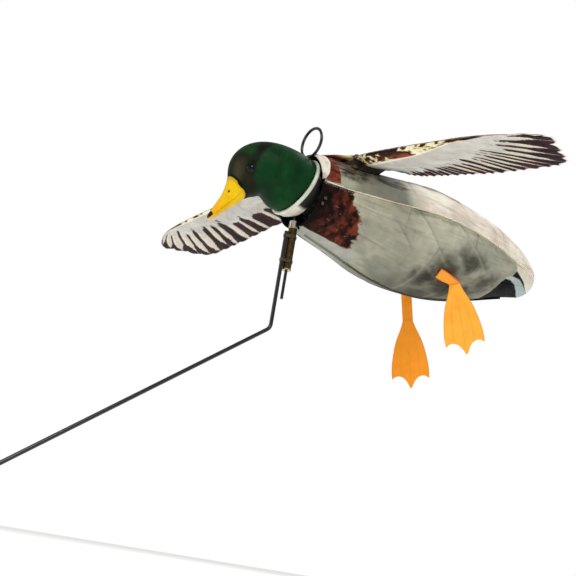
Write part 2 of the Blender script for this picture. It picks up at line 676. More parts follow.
def tail_end():
    """Black gathered cloth that closes the tail."""
    r = np.linspace(0.02, 1, 26)[:, None]
    a = np.radians(np.arange(0, 360, 3))[None, :]
    zc, hh, hw = sock_at(np.array(436.0))
    pleat = 0.7 * np.sin(a * 22) * r**2
    x = 434.9 + 1.2 * (1 - r**2) + pleat * 0.6
    grid = xyz(x, (hw - 0.8) * r * np.cos(a), zc + (hh - 0.8) * r * np.sin(a))
    return fitted("tail_gather", grid, painted(x.shape, "#121213"), CLOTH, "tail_fabric", "tail_panel",
                  (EDGE_T, CENTRED), turned=True, closed=True)


def mouth_hem():
    """Rolled dark hem round the sock's mouth, open at the throat."""
    a = np.radians(np.linspace(-78, 258, 220))[:, None]
    b = np.radians(np.arange(0, 360, 30))[None, :]
    zc, hh, hw = sock_at(np.array(MOUTH_X))
    r = 1.3
    out = r * np.cos(b)
    x = MOUTH_X + 0.4 + r * np.sin(b)
    grid = xyz(x, (hw - 0.3 + out) * np.cos(a), zc + (hh - 0.3 + out) * np.sin(a))
    return fitted("mouth_hem", grid, painted(grid.shape[:2], "#130d0b"), BREAST, "breast_fabric",
                  closed=True, caps=True)


def neck_cuff(side):
    """White cloth of the sleeve that laps over the sock's mouth."""
    angle = np.linspace(9, 72, 60)[:, None]
    q = np.linspace(0, 1, 14)[None, :]
    rear = np.interp(angle, [9, 20, 42, 64, 72], [3.5, 9, 14.5, 15, 9])
    x = 0.6 + (rear - 0.6) * q
    place = xyz(x, angle, 0.0)
    out = 0.3 + 3.3 * smooth(0, 0.22, q) - 0.6 * smooth(0.9, 1, q) + 0.5 * noise(place, (9, 14, 9), 247)
    grid = sock_points(np.maximum(x, MOUTH_X), angle, out)
    grid[..., 0] = x
    grid[..., 1] *= side
    paint = coats(
        painted(x.shape, "#e9e2d2"),
        ("#b9ad97", 0.6 * smooth(0.0, 0.8, layered(place, (7, 16, 9), 249))),
        ("#8d8372", 0.6 * smooth(20, 8, angle)))
    return fitted(f"neck_cuff_{SIDES[side]}", grid, paint, CLOTH, "neck_white",
                  cloth=(THIN_T, CENTRED), turned=side == LEFT)


sides = {side: body_side(side) for side in SIDES}
cuffs = {side: neck_cuff(side) for side in SIDES}
back_cloth = back()
yoke_cloth = yoke()
flaps = {side: seam_flap(side) for side in SIDES}
belly = belly_edge()
tail_cloth = tail_end()
hem = mouth_hem()

# --- neck, head and bill ---------------------------------------------------------------

# x, y, z, tilt, turn, half height, half width
HEAD_SECTIONS = [
    (-11.0, 0.0, 57.7, 19.0, 0.0, 42.0, 39.0), (-33.6, 2.0, 61.7, 8.0, 8.0, 41.0, 38.0),
    (-54.7, 7.0, 65.5, -6.0, 15.0, 36.0, 35.0), (-73.0, 13.0, 57.5, -24.0, 20.0, 33.5, 31.0),
    (-82.5, 17.0, 43.5, -42.0, 22.0, 26.0, 25.0), (-84.5, 18.5, 32.0, -50.0, 22.0, 18.0, 18.0)]
BILL_SECTIONS = [
    (-84.7, 19.0, 31.6, -52.0, 22.0, 16.5, 16.8), (-88.0, 21.5, 20.5, -58.0, 22.0, 13.2, 14.2),
    (-95.5, 25.5, 7.5, -58.0, 22.0, 9.0, 12.5), (-102.5, 28.5, -4.5, -58.0, 22.0, 6.2, 12.5),
    (-108.5, 31.0, -14.0, -60.0, 22.0, 3.0, 7.5)]
FACE_TURN = 22.0
RING = (-9.0, 0.0, 57.0, 19.0, 0.0, 43.0, 40.0)


def axes(tilt, turn):
    tilt, turn = np.radians(tilt), np.radians(turn)
    ahead = np.stack([-np.cos(tilt) * np.cos(turn), np.cos(tilt) * np.sin(turn), np.sin(tilt)], -1)
    across = np.stack([np.sin(turn), np.cos(turn), 0 * turn], -1)
    return ahead, across, np.cross(ahead, across)


def along(sections, s, theta, grow=0.0, power=2.0):
    """A smooth loft; theta is 0 at the right, 90 below, 180 at the left, 270 on top, in degrees."""
    table = np.array(sections)
    steps = np.linalg.norm(np.diff(table[:, :3], axis=0), axis=1)
    knots = np.r_[0, np.cumsum(steps)] / steps.sum()
    column = [cubic(knots, table[:, i], s) for i in range(7)]
    _, across, down = axes(column[3], column[4])
    th = np.radians(theta)
    c = np.sign(np.cos(th)) * np.abs(np.cos(th)) ** (2 / power)
    d = np.sign(np.sin(th)) * np.abs(np.sin(th)) ** (2 / power)
    wide, tall = column[6] + grow, column[5] + grow
    return xyz(*column[:3]) + across * (wide * c)[..., None] + down * (tall * d)[..., None]


def around(theta, centre):
    """How far an angle is from another, either way round."""
    return (theta - centre + 180) % 360 - 180


def spot(s, theta, at, size):
    """1 at a place on the head and 0 beyond its size (share of length, degrees)."""
    return smooth(1.0, 0.0, np.hypot((s - at[0]) / size[0], around(theta, at[1]) / size[1]))


def both_sides(s, theta, at, size):
    return np.maximum(spot(s, theta, at, size), spot(s, theta, (at[0], 180 - at[1]), size))


def rounded_end(grid, s, theta, tilt, steps):
    """A loft closed with smaller rows; steps: (share of its last row's size, distance ahead)."""
    ahead, _, _ = axes(np.array(tilt), np.array(FACE_TURN))
    centre = grid[-1].mean(0)
    rows = [centre + (grid[-1] - centre) * share + ahead * out for share, out in steps]
    s = np.concatenate([s, np.ones((len(rows), s.shape[1]))])
    return np.concatenate([grid, np.stack(rows)]), s, np.broadcast_to(theta[:1], s.shape)


def head():
    """Moulded head with cheeks, eye hollows and a rounded front under the bill."""
    s = np.linspace(0, 1, 150)[:, None]
    theta = np.arange(0, 360, 1.5)[None, :]
    s, theta = s + 0 * theta, theta + 0 * s
    bulge = 1.6 * both_sides(s, theta, (0.56, 150), (0.28, 44))
    bulge += 1.0 * both_sides(s, theta, (0.73, 200), (0.12, 26))
    bulge -= 1.3 * both_sides(s, theta, (0.93, 205), (0.12, 30))
    bulge -= 2.2 * both_sides(s, theta, (0.775, 177), (0.075, 19))
    ring = np.hypot((s - 0.775) / 0.075, around(theta, 176) / 20)
    ring = np.minimum(ring, np.hypot((s - 0.775) / 0.075, around(theta, 4) / 20))
    bulge += 0.4 * np.exp(-((ring - 1.1) / 0.25) ** 2)
    grid = along(HEAD_SECTIONS, s, theta, bulge)
    steps = [(0.93, 1.6), (0.8, 2.8), (0.5, 3.8), (0.2, 4.2), (0.03, 4.2)]
    grid, s, theta = rounded_end(grid, s, theta, -50.0, steps)
    cloudy = layered(grid, 16, 101)
    under = smooth(0.25, 0.5, s) * smooth(60, 25, np.abs(around(theta, 90)))
    crown = 270 - np.abs(around(theta, 270))
    middle = 0.5 - 0.0045 * (crown - 230)
    band = smooth(0.1, 0.035, np.abs(s - middle - 0.02)) * smooth(172, 186, crown)
    face = smooth(0.66, 0.8, s + 0.05 * cloudy - 0.05 * smooth(200, 240, crown))
    paint = coats(
        painted(s.shape, "#0a3516"),
        ("#07260f", 0.7 * smooth(0.0, 0.8, cloudy)),
        ("#10481e", 0.5 * smooth(0.0, 0.8, -cloudy) * smooth(0.62, 0.3, s)),
        ("#0b2416", 0.8 * under),
        ("#0a0d08", 0.95 * band),
        ("#1a1c0f", 0.95 * face),
        ("#3f3a25", 0.9 * both_sides(s, theta, (0.92, 205), (0.2, 38))),
        ("#143f1a", 0.8 * both_sides(s, theta, (0.69, 216), (0.09, 20))),
        ("#2c1f14", 0.8 * both_sides(s, theta, (0.85, 160), (0.12, 26))),
        ("#33301a", 0.5 * both_sides(s, theta, (0.67, 170), (0.03, 7))),
        ("#090906", 0.95 * both_sides(s, theta, (0.77, 175), (0.1, 24))),
        ("#0b0c08", smooth(0.965, 0.99, s)))
    fitted("head_moulding", grid, paint, HEAD, "head_green", "head_shell", closed=True)


def bill():
    """Bill with its gape line, nostrils and nail."""
    s = np.linspace(0, 1, 110)[:, None]
    theta = np.arange(0, 360, 2.5)[None, :]
    s, theta = s + 0 * theta, theta + 0 * s
    top = np.abs(around(theta, 270))
    gape = 90 + 62
    edge = np.minimum(np.abs(around(theta, gape)), np.abs(around(theta, 180 - gape)))
    grow = -0.55 * smooth(5, 1.5, edge) * smooth(0.02, 0.1, s) * smooth(0.93, 0.85, s)
    nostril = both_sides(s, theta, (0.285, 204), (0.045, 9))
    grow -= 0.9 * nostril
    grow -= 0.8 * smooth(60, 20, top) * np.exp(-((s - 0.5) / 0.28) ** 2)
    grow += 0.5 * smooth(0.9, 0.96, s) * smooth(60, 30, top)
    grow += 0.7 * smooth(0.05, 0.0, s)
    grid = along(BILL_SECTIONS, s, theta, grow, power=2.3)
    steps = [(0.86, 1.0), (0.6, 1.7), (0.3, 2.0), (0.04, 2.1)]
    grid, s, theta = rounded_end(grid, s, theta, -60.0, steps)
    edge = np.minimum(np.abs(around(theta, gape)), np.abs(around(theta, 180 - gape)))
    top = np.abs(around(theta, 270))
    cloudy = layered(grid, 9, 111)
    gape_line = smooth(3.5, 1.0, edge) * smooth(0.02, 0.1, s) * smooth(0.95, 0.88, s)
    nostril = both_sides(s, theta, (0.285, 204), (0.05, 11))
    nail = smooth(0.875, 0.895, s - 0.0006 * top) * smooth(115, 100, top)
    paint = coats(
        painted(s.shape, "#efc205"),
        ("#eda802", 0.75 * smooth(0.35, 0.75, s + 0.1 * cloudy)),
        ("#d9b00a", 0.5 * smooth(0.0, 0.8, cloudy)),
        ("#8a7a18", 0.6 * smooth(0.1, 0.0, s)),
        ("#a3860a", 0.5 * gape_line),
        ("#3d3208", 1.6 * nostril),
        ("#060403", nail))
    fitted("bill_moulding", grid, paint, BILL, "bill_yellow", "bill", closed=True)


def ring_frame():
    x, y, z, tilt, turn, tall, wide = RING
    ahead, across, down = axes(np.array(tilt), np.array(turn))
    return np.array([x, y, z]), ahead, across, down, tall, wide


def neck_ring():
    """Rounded rim with a lip on its head side."""
    centre, ahead, across, down, tall, wide = ring_frame()
    profile = np.array([(-2.4, -0.3), (-2.4, -3.7), (-1.9, -4.0), (0.6, -4.0), (1.3, -3.7), (1.6, -3.0),
                        (1.6, -1.0), (1.3, -0.3), (0.7, 0.0), (-1.9, 0.0)])
    th = np.radians(np.arange(0, 360, 2))[:, None]
    out, depth = profile[:, 0][None, :], profile[:, 1][None, :]
    grid = centre + ahead * depth[..., None] + across * ((wide + out) * np.cos(th))[..., None] \
        + down * ((tall + out) * np.sin(th))[..., None]
    grid = np.concatenate([grid, grid[:1]])
    paint = painted(grid.shape[:2], "#d5dccb")
    paint = over(paint, "#b8c2ac", 0.6 * smooth(0.0, 0.7, layered(grid, 12, 121)))
    fitted("neck_rim", grid[:, ::-1], paint, RUBBER_RING, "neck_white", "neck_ring", closed=True)


def neck_sleeve():
    """White sleeve gathered from the ring into the sock's mouth."""
    centre, ahead, across, down, tall, wide = ring_frame()
    q = np.linspace(0, 1, 40)[:, None]
    th = np.arange(0, 360, 1.5)[None, :]
    depth = 3.2 + 17.3 * q
    share = np.interp(depth, [3, 4, 12, 20.5], [0.985, 0.985, 0.93, 0.77])
    rad = np.radians(th)
    place = xyz(depth, 30 * np.cos(rad), 30 * np.sin(rad))
    gather = 0.5 * (noise(place, (60, 5, 5), 131) + noise(place, (18, 14, 14), 133)) * smooth(0.05, 0.5, q)
    grid = centre - ahead * depth[..., None] + across * ((wide * share + gather) * np.cos(rad))[..., None] \
        + down * ((tall * share + gather) * np.sin(rad))[..., None]
    flank = smooth(122, 132, th) * smooth(222, 212, th) + smooth(58, 48, np.abs(around(th, 0)))
    paint = coats(
        painted(grid.shape[:2], "#e6e0d2"),
        ("#c4bba6", 0.6 * smooth(0.0, 0.8, layered(place, (30, 6, 6), 135))),
        ("#d8c9ae", 0.5 * smooth(0.1, 0.8, noise(place, (12, 12, 12), 137))),
        ("#080504", 0.97 * flank * smooth(4.2, 5.4, depth)),
        ("#a59a84", 0.5 * (np.abs(around(th, 196)) < 1.6)))
    return fitted("neck_cloth", grid, paint, CLOTH, "neck_white", "neck_sleeve", (CLOTH_T, OUTSIDE),
                  turned=True, closed=True)


def eye(side):
    """Glossy half ball set in the head's cheek."""
    s, theta = np.array(0.775), np.array(176.5 if side == LEFT else 3.5)
    middle = along(HEAD_SECTIONS, s, theta)
    ahead = along(HEAD_SECTIONS, s + 0.02, theta) - middle
    around_head = along(HEAD_SECTIONS, s, theta + 4) - middle
    out = np.cross(ahead, around_head)
    out /= np.linalg.norm(out)
    out *= np.sign(out[1]) * side
    ahead /= np.linalg.norm(ahead)
    up = np.cross(out, ahead)
    radius, height, sunk = 6.4, 0.72 * 6.4, 3.4
    a = np.radians(np.arange(0, 360, 10))[None, :]
    b = np.radians(np.linspace(2, 120, 16))[:, None]
    ball = [height * np.cos(b) - sunk, radius * np.sin(b) * np.cos(a), radius * np.sin(b) * np.sin(a)]
    grid = middle + sum(part[..., None] * way for part, way in zip(ball, (out, ahead, up)))
    fitted(f"eye_ball_{SIDES[side]}", grid, painted(grid.shape[:2], "#020202"), EYE, "eye_black",
           f"eye_{SIDES[side]}", closed=True, caps=True)


head()
bill()
for side in SIDES:
    eye(side)
neck_ring()
sleeve = neck_sleeve()

# --- wings -----------------------------------------------------------------------------

LEVEL = np.array([1, 1, 0])

ROOT_Y, TIP_Y, SPAR_END_Y = 27.0, 384.0, 300.0
BANDS = {LEFT: 26, RIGHT: 19}
TIP_BANDS_FROM, TIP_BANDS = 0.76, 5
ROOT_POCKET, FLAT_HALF = 2.7, 0.45
GUSSET_ROWS, ABOVE_SOCK = 21, 2.5


def wing_edge(y, coefficients):
    """A curve along the wing, from its three coefficients."""
    t = y / 400.0
    a, b, c = coefficients
    return a + b * t + c * t * t


FRONT_X, FRONT_Z = (82.9, -268.0, 192.7), (132.0, -175.9, 87.8)
BACK_X, BACK_Z = (150.0, -143.2, 97.7), (136.3, -169.9, 78.1)


def rounding(y):
    """How rounded off the wing's edges are, from 0 at the spar's end to 1 at the tip."""
    return np.clip((y - SPAR_END_Y) / (TIP_Y - SPAR_END_Y), 0, 1) ** 2.5


def wing_height(x, y):
    front, back = wing_edge(y, FRONT_X), wing_edge(y, BACK_X)
    share = (x - front) / (back - front)
    low, high = wing_edge(y, FRONT_Z), wing_edge(y, BACK_Z)
    return low + share * (high - low)


def pocket_radius(i):
    """Radius of the pocket that the spar lies in."""
    return np.interp(i, [0, 0.8, 1], [ROOT_POCKET, 2.5, 1.0])


def wing_outline(i):
    """Where a feather line starts on the leading edge and ends on the outline, as (x, y)."""
    start_y = ROOT_Y + (352 - ROOT_Y) * i**0.94
    start = np.stack([wing_edge(start_y, FRONT_X) + 16 * rounding(start_y) - pocket_radius(i), start_y], -1)
    y = np.r_[np.linspace(ROOT_Y, 355, 120), np.linspace(357, 368, 12)]
    rear = np.stack([wing_edge(y, BACK_X) - 9 * rounding(y), y], -1)
    rear[:, 0] -= 8 * smooth(350, 368, y) ** 2 + 32 * smooth(72, ROOT_Y - 10, y)
    ahead_y = np.linspace(395, 357, 20)
    ahead = np.stack([wing_edge(ahead_y, FRONT_X) + 16 * rounding(ahead_y) - 1.0, ahead_y], -1)
    ahead[:, 0] += 6 * smooth(380, 395, ahead_y) ** 2
    tip = np.linspace(rear[-1], ahead[0], 14)[1:-1]
    line = np.concatenate([rear, tip, ahead])
    run = np.r_[0, np.cumsum(np.linalg.norm(np.diff(line, axis=0), axis=1))]
    at = i * run[-1]
    end = np.stack([np.interp(at, run, line[:, 0]), np.interp(at, run, line[:, 1])], -1)
    return start, end


def wing_plan(side):
    """The underside's feather lines: places (x, y), share along each, and their band number."""
    count = BANDS[side]
    band = np.linspace(0, count, count * 14 + 1)
    i = np.interp(band, [0, count - TIP_BANDS, count], [0, TIP_BANDS_FROM, 1])
    start, end = wing_outline(i)
    length = np.linalg.norm(end - start, axis=1)
    band = band + 0.12 * np.sin(2.3 * band) * smooth(0, 1, band) * smooth(count, count - 1, band)
    notch = np.abs(2 * (band % 1.0) - 1) ** (3 + 3 * smooth(0.72, 0.8, i))
    notch[0] = notch[-1] = 0
    depth = np.interp(i, [0, 0.1, 0.7, 0.8, 0.97, 1], [0, 2.2, 3.4, 9.0, 9.5, 3.0]) * notch
    # run: distance from the leading edge, with close points over the spar's pocket
    near = np.array([0, 0.15, 0.5, 1.0, 1.7, 2.6, 3.6, 4.8, 6.2, 8.0])
    squeeze = np.minimum(1, length / 20)[:, None]
    first = near * squeeze
    far = (length - depth)[:, None]
    rest = first[:, -1:] + (far - first[:, -1:]) * np.linspace(0, 1, 86)[None, 1:]
    run = np.concatenate([first, rest], 1)
    w = run / length[:, None]
    bow = np.interp(i, [0, 0.3, 0.8, 1], [0, 7, 12, 1.5])
    middle = (start + end) / 2 + np.stack([bow * 0.3, bow], -1)
    ww = w[..., None]
    plan = (1 - ww) ** 2 * start[:, None] + 2 * ww * (1 - ww) * middle[:, None] + ww**2 * end[:, None]
    return plan, run, w, band, i, far


# Where the pale shaft lies in a band's width.  Then, by place along each wing: where the dark
# print starts, the shaft's half width, and where the shaft ends.
SHAFT_AT = 0.42
PRINT_AT = [0, 0.1, 0.25, 0.45, 0.6, 0.8, 1.0]
PRINTS = {
    LEFT: dict(dark_from=[0.95, 0.90, 0.80, 0.62, 0.52, 0.40, 0.28],
               shaft=[0.04, 0.07, 0.12, 0.27, 0.30, 0.27, 0.24],
               dark_ends=[0.90, 0.90, 0.92, 0.95, 0.92, 0.60, 0.42]),
    RIGHT: dict(dark_from=[0.70, 0.62, 0.52, 0.42, 0.34, 0.24, 0.18],
                shaft=[0.04, 0.06, 0.09, 0.14, 0.25, 0.38, 0.42],
                dark_ends=[0.80, 0.85, 0.92, 0.95, 0.85, 0.76, 0.72]),
}


def turned_under(y, side):
    """Width of the upper cloth that is turned under along the leading edge."""
    widths = [18, 17, 16, 16, 14, 9, 5, 0] if side == LEFT else [9, 7, 3, 1.8, 1.6, 1.5, 1, 0]
    return np.interp(y, [ROOT_Y, 60, 120, 200, 230, 262, 285, 332], widths)


def droop(y, run):
    """How far the front of the cloth hangs down near the wing's root."""
    reach = turned_under(y, LEFT)
    deep = np.interp(y, [ROOT_Y, 60, 120, 200, 240, 285], [8, 7.5, 6.5, 5, 3, 0])
    return deep * smooth(0, np.maximum(reach, 5), run) * smooth(reach + 60, reach + 4, run)


def under_paint(plan, run, w, band, i, far, side):
    """Pale underside with dark feather ends, a white rim and the turned-under edge."""
    x, y = plan[..., 0], plan[..., 1]
    place = xyz(x, y, 0.0)
    i = i[:, None]
    fb = (band % 1.0)[:, None]
    wobble = 0.06 * noise(place, (14, 14, 9), 201)
    look = PRINTS[side]
    edge = np.interp(i, PRINT_AT, look["dark_from"]) + 0.05 * np.sin(3.7 * band)[:, None]
    fringe = 0.05 * noise(xyz(x * 0.2, y, 0.0), 1.6, 203) + 0.03 * noise(place, 6, 205)
    fringe = fringe + 0.055 * np.cos(2 * np.pi * (fb - SHAFT_AT)) + wobble
    t = np.clip((w - edge - fringe) / (1 - edge), 0, 1)
    inside = smooth(0.0, 0.05, t)
    barbs = noise(xyz(run * 0.12 + 30 * i, band[:, None] * 14, 0.0), 1.0, 207)
    paint = coats(
        painted(x.shape, "#c4c0b8"),
        ("#a3a3a0", 0.5 * smooth(-0.1, 0.8, barbs)),
        ("#dcdad3", 0.5 * smooth(0.0, 0.8, layered(place, 22, 209))),
        ("#8f9190", 0.55 * smooth(0.25, 0.0, i) * smooth(0.25, 0.8, w)))
    wide = np.interp(i, PRINT_AT, look["shaft"])
    ends = np.interp(i, PRINT_AT, look["dark_ends"]) + 0.06 * np.sin(2.1 * band)[:, None]
    wide = wide * smooth(ends + 0.12, ends - 0.35, t) * (1 + 2.5 * wobble)
    from_shaft = fb - SHAFT_AT + 0.12 * t
    shaft = smooth(0.045, -0.045, np.abs(from_shaft) - wide)
    lit = smooth(0.03, -0.02, np.abs(from_shaft - 0.6 * wide) - 0.25 * wide)
    dark = coats(
        painted(x.shape, "#24141a"),
        ("#3f1a1c", 0.8 * smooth(-0.2, 0.7, noise(place, (20, 9, 9), 211))),
        ("#cfc7b6", shaft),
        ("#e6e0d2", 0.6 * lit * shaft))
    paint = mixed(paint, dark, inside)
    rim = smooth(2.1, 1.0, (far - run) / (1 + 0.7 * smooth(0.7, 0.8, i))) * smooth(0.02, 0.06, i)
    paint = over(paint, "#ece9e0", rim)
    # the upper cloth turned under along the leading edge
    reach = turned_under(y, side)
    turned = smooth(reach + 0.5, reach - 0.5, run) * smooth(334, 326, y)
    blot = layered(xyz(run * 1.6, y + 1.4 * run, 0.0), (6, 12, 9), 213)
    blot = blot + np.interp(y, [27, 60, 110, 140, 155, 190, 203, 214, 240, 298, 306, 330],
                            [0.2, 0.1, 0.2, -0.2, -0.7, -0.7, 0.2, 0.7, 0.5, 0.3, -0.7, -0.7])
    camo = coats(
        painted(x.shape, "#4c1d13"),
        ("#241310", smooth(0.1, 0.5, -blot)),
        ("#8a3d22", smooth(0.5, 0.8, -blot) * smooth(0.4, 0.7, run / np.maximum(reach, 1))),
        ("#cfc48d", smooth(0.0, 0.22, blot)),
        ("#f3ebc8", smooth(0.3, 0.6, blot)))
    paint = mixed(paint, camo, turned)
    line = np.exp(-((run - reach - 1.0) / (1.1 + 0.9 * smooth(190, 150, y))) ** 2) * smooth(336, 326, y)
    return over(paint, "#f3ecd6", 1.2 * line)


# start, end and colour of the stripes of the blue wing mirror
MIRROR = [(0.58, 0.63, "#ece9e2"), (0.63, 0.67, "#141216"), (0.67, 0.83, "#2b3f86"),
          (0.83, 0.88, "#141216"), (0.88, 0.93, "#ece9e2")]


def upper_paint(plan, run, w, band, i, far):
    """Brown top with scaled coverts, dark flight feathers and the blue mirror."""
    x, y = plan[..., 0], plan[..., 1]
    i = i[:, None]
    fb = (band % 1.0)[:, None]
    blot = layered(xyz(run * 1.6, y + 1.4 * run, 0.0), (7, 13, 9), 213)
    cell = np.abs(((run / 13 + 0.5 * np.floor(band[:, None] * 1.5)) % 1.0) - 0.5)
    flight = smooth(0.5, 0.56, w + 0.03 * np.cos(2 * np.pi * fb))
    shaft = smooth(0.05, 0.0, np.abs(fb - 0.5)) * flight
    vane = smooth(0.12, 0.02, np.minimum(fb, 1 - fb)) * flight
    paint = coats(
        painted(x.shape, "#7b6754"),
        ("#4c2f22", smooth(0.0, 0.6, -blot) * smooth(0.4, 0.15, w)),
        ("#cfc48d", 0.8 * smooth(0.15, 0.5, blot) * smooth(0.4, 0.1, w) * smooth(250, 180, y)),
        ("#a99880", 0.6 * smooth(0.42, 0.48, cell) * smooth(0.62, 0.5, w)),
        ("#5d5148", flight),
        ("#b7a990", 0.7 * shaft),
        ("#241c19", 0.8 * vane))
    mirror = smooth(0.10, 0.12, i) * smooth(0.52, 0.50, i)
    for low, high, code in MIRROR:
        stripe = smooth(low - 0.008, low + 0.008, w) * smooth(high + 0.008, high - 0.008, w)
        paint = over(paint, code, mirror * stripe)
    sheen = smooth(0.68, 0.8, w) * smooth(0.83, 0.8, w) * smooth(-0.2, 0.6, noise(xyz(x, y, 60.0), 8, 221))
    paint = over(paint, "#3a3466", 0.5 * mirror * sheen)
    rim = smooth(2.1, 1.0, far - run) * smooth(0.02, 0.06, i)
    return over(paint, "#ece9e0", rim)


def gusset_plan(u):
    """The front and rear ends of rows of cloth from the middle of the back to the wing's root."""
    front = xyz(cubic([0, 0.4, 0.75, 1], [14, 36, 53, 63.0], u), cubic([0, 0.5, 1], [5.5, 19, 27], u),
                cubic([0, 0.5, 1], [109.0, 116.3, 120.6], u))
    rear = xyz(cubic([0, 1], [112, 112.5], u), cubic([0, 1], [4.0, 27], u),
               cubic([0, 0.5, 1], [121.5, 123.0, 123.4], u))
    return front, rear


def wing(side):
    """One closed piece: the wing's two layers of cloth and the gusset to the back."""
    plan, run, w, band, i, far = wing_plan(side)
    x, y = plan[..., 0], plan[..., 1]
    z = wing_height(x, y)
    lift = 2.2 * noise(xyz(x, y, 9.0 * side), (60, 52, 30), 231)
    lift = lift + 0.7 * np.sin(2 * np.pi * band)[:, None] * smooth(0.3, 1.0, w)
    z = z + lift * smooth(6, 40, run) * smooth(ROOT_Y, ROOT_Y + 25, y) - droop(y, run)
    z = np.maximum(z, sock_top(x, y) + ABOVE_SOCK)
    # half the cloth's thickness: a round pocket over the spar, then two flat layers
    r = pocket_radius(i)[:, None]
    front_part = np.sqrt(np.maximum(0, r**2 - (np.minimum(run, r) - r) ** 2))
    flat_part = (r - FLAT_HALF) * np.exp(-np.maximum(0, (run - r) / 3.6) ** 1.4) + FLAT_HALF
    half = np.where(run < r, front_part, flat_part)
    half = half * smooth(-0.4, 3.0, far - run) ** 0.5 + 0.02
    # rows across the gusset
    u = np.linspace(0, 1, GUSSET_ROWS + 1)[:-1, None]
    front, rear = gusset_plan(u)
    share = w[:1] / w[0, -1]
    g = front + (rear - front) * share[..., None]
    sag = -2.5 * np.sin(np.pi * share) * np.sin(np.pi * u)
    g[..., 2] += sag + 0.6 * noise(g * LEVEL, 12, 235)
    g[..., 2] -= droop(y[:1], run[:1]) * u
    g[..., 2] = np.maximum(g[..., 2], sock_top(g[..., 0], g[..., 1]) + ABOVE_SOCK)
    points = np.concatenate([g, xyz(x, y, z)])
    half = np.concatenate([half[:1] * (0.35 + 0.65 * u), half])
    n = normals(points)
    n *= np.sign(n[..., 2:3])
    upper = points + n * half[..., None]
    lower = points - n * half[..., None]
    under = under_paint(plan, run, w, band, i, far, side)
    above = upper_paint(plan, run, w, band, i, far)
    gusset_under = painted(g.shape[:2], "#a7a9a3")
    blot = layered(1.3 * g * LEVEL, (14, 7, 9), 213)
    gusset_top = over(painted(g.shape[:2], "#6e3022"), "#3a1812", 0.8 * smooth(0.0, 0.6, blot))
    gusset_top = over(gusset_top, "#cfc48d", smooth(0.35, 0.8, u) * smooth(0.1, 0.4, -blot))
    from_front = share * run[0, -1] / w[0, -1]
    gusset_under = mixed(gusset_under, gusset_top, smooth(18.6, 17.4, from_front))
    gusset_under = over(gusset_under, "#f3ecd6", np.exp(-((from_front - 18.8) / 1.2) ** 2))
    under = np.concatenate([gusset_under, under])
    above = np.concatenate([gusset_top, above])
    grid = np.concatenate([lower[:, ::-1], upper[:, 1:]], 1)
    paint = np.concatenate([under[:, ::-1], above[:, 1:]], 1)
    grid[..., 1] *= side
    if side == RIGHT:
        grid, paint = grid[:, ::-1], paint[:, ::-1]
    made = grid_piece(f"wing_cloth_{SIDES[side]}", grid, paint, closed=True, caps=True)
    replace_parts(dress(made, WING), f"wing_panel_{SIDES[side]}")
    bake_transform(made)
    return made


def arm_gusset(side):
    """Dark cloth from the back's armhole up to the wing's root."""
    a = np.radians(np.arange(0, 360, 4))[None, :]
    q = np.linspace(0, 1, 14)[:, None]
    low_x, low_y = 79 + 30 * np.cos(a), 21.5 + 17.5 * np.sin(a)
    low_z = sock_top(low_x, low_y) + 0.4
    high_x, high_y = 88 + 23 * np.cos(a), 34 + 9 * np.sin(a)
    high_run = high_x - wing_edge(high_y, FRONT_X) + ROOT_POCKET
    high_z = wing_height(high_x, high_y) - droop(high_y, high_run) - 0.6
    high_z = np.maximum(high_z, sock_top(high_x, high_y) + 2.0)
    low, high = xyz(low_x, low_y, low_z), xyz(high_x, high_y, high_z)
    grid = low * (1 - q[..., None]) + high * q[..., None]
    wrinkle = 0.9 * np.sin(np.pi * q) * noise(grid * LEVEL, (6, 6, 9), 241)
    grid = grid + wrinkle[..., None] * xyz(np.cos(a), np.sin(a), 0.0)
    paint = coats(
        painted(grid.shape[:2], "#2a251f"),
        ("#65563c", 0.8 * smooth(0.1, 0.6, layered(grid, (8, 8, 5), 243))),
        ("#0f0d0b", 0.8 * smooth(0.1, 0.6, -layered(grid, (9, 9, 5), 245))))
    grid[..., 1] *= side
    if side == RIGHT:
        grid, paint = grid[:, ::-1], paint[:, ::-1]
    made = grid_piece(f"arm_gusset_{SIDES[side]}", grid, paint, closed=True)
    thicken(made, GUSSET_T, CENTRED)
    dress(made, CLOTH)
    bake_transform(made)
    return made


wings = {side: wing(side) for side in SIDES}
gussets = {side: arm_gusset(side) for side in SIDES}

# --- feet ------------------------------------------------------------------------------

LEG_HALF, FOOT_LENGTH, FOAM_T, FOLD_GAP = 7.5, 98.0, 3.0, 3.0
FEET = {
    LEFT: dict(strip=((214.0, -56.5, -3.0), (250.0, -51.5, -5.5)), hang=(0.370, -0.040, -0.929),
               across=(0.562, -0.788, 0.258), leg=0.0),
    RIGHT: dict(strip=((220.0, 56.5, -3.0), (256.0, 51.5, -5.5)), hang=(0.246, 0.0, -0.969),
                across=(0.6, -0.79, 0.152), leg=40.0),
}


def unit(v):
    v = np.asarray(v, float)
    return v / np.linalg.norm(v)


def foot_half_width(web):
    """Half the foot's width at a share of its length."""
    return cubic([0, 0.12, 0.3, 0.5, 0.7, 0.88, 1], [LEG_HALF, 11.0, 17.5, 22.6, 26.0, 27.4, 27.0], web)


def toe_reach(q):
    """How far down the foot's end is across its width: three toes with hollow webs between."""
    return np.interp(np.abs(q), [0, 0.05, 0.12, 0.22, 0.36, 0.52, 0.68, 0.82, 0.93, 1],
                     [98, 97.2, 93.0, 88.0, 83.6, 81.0, 80.3, 81.0, 83.0, 84.5])


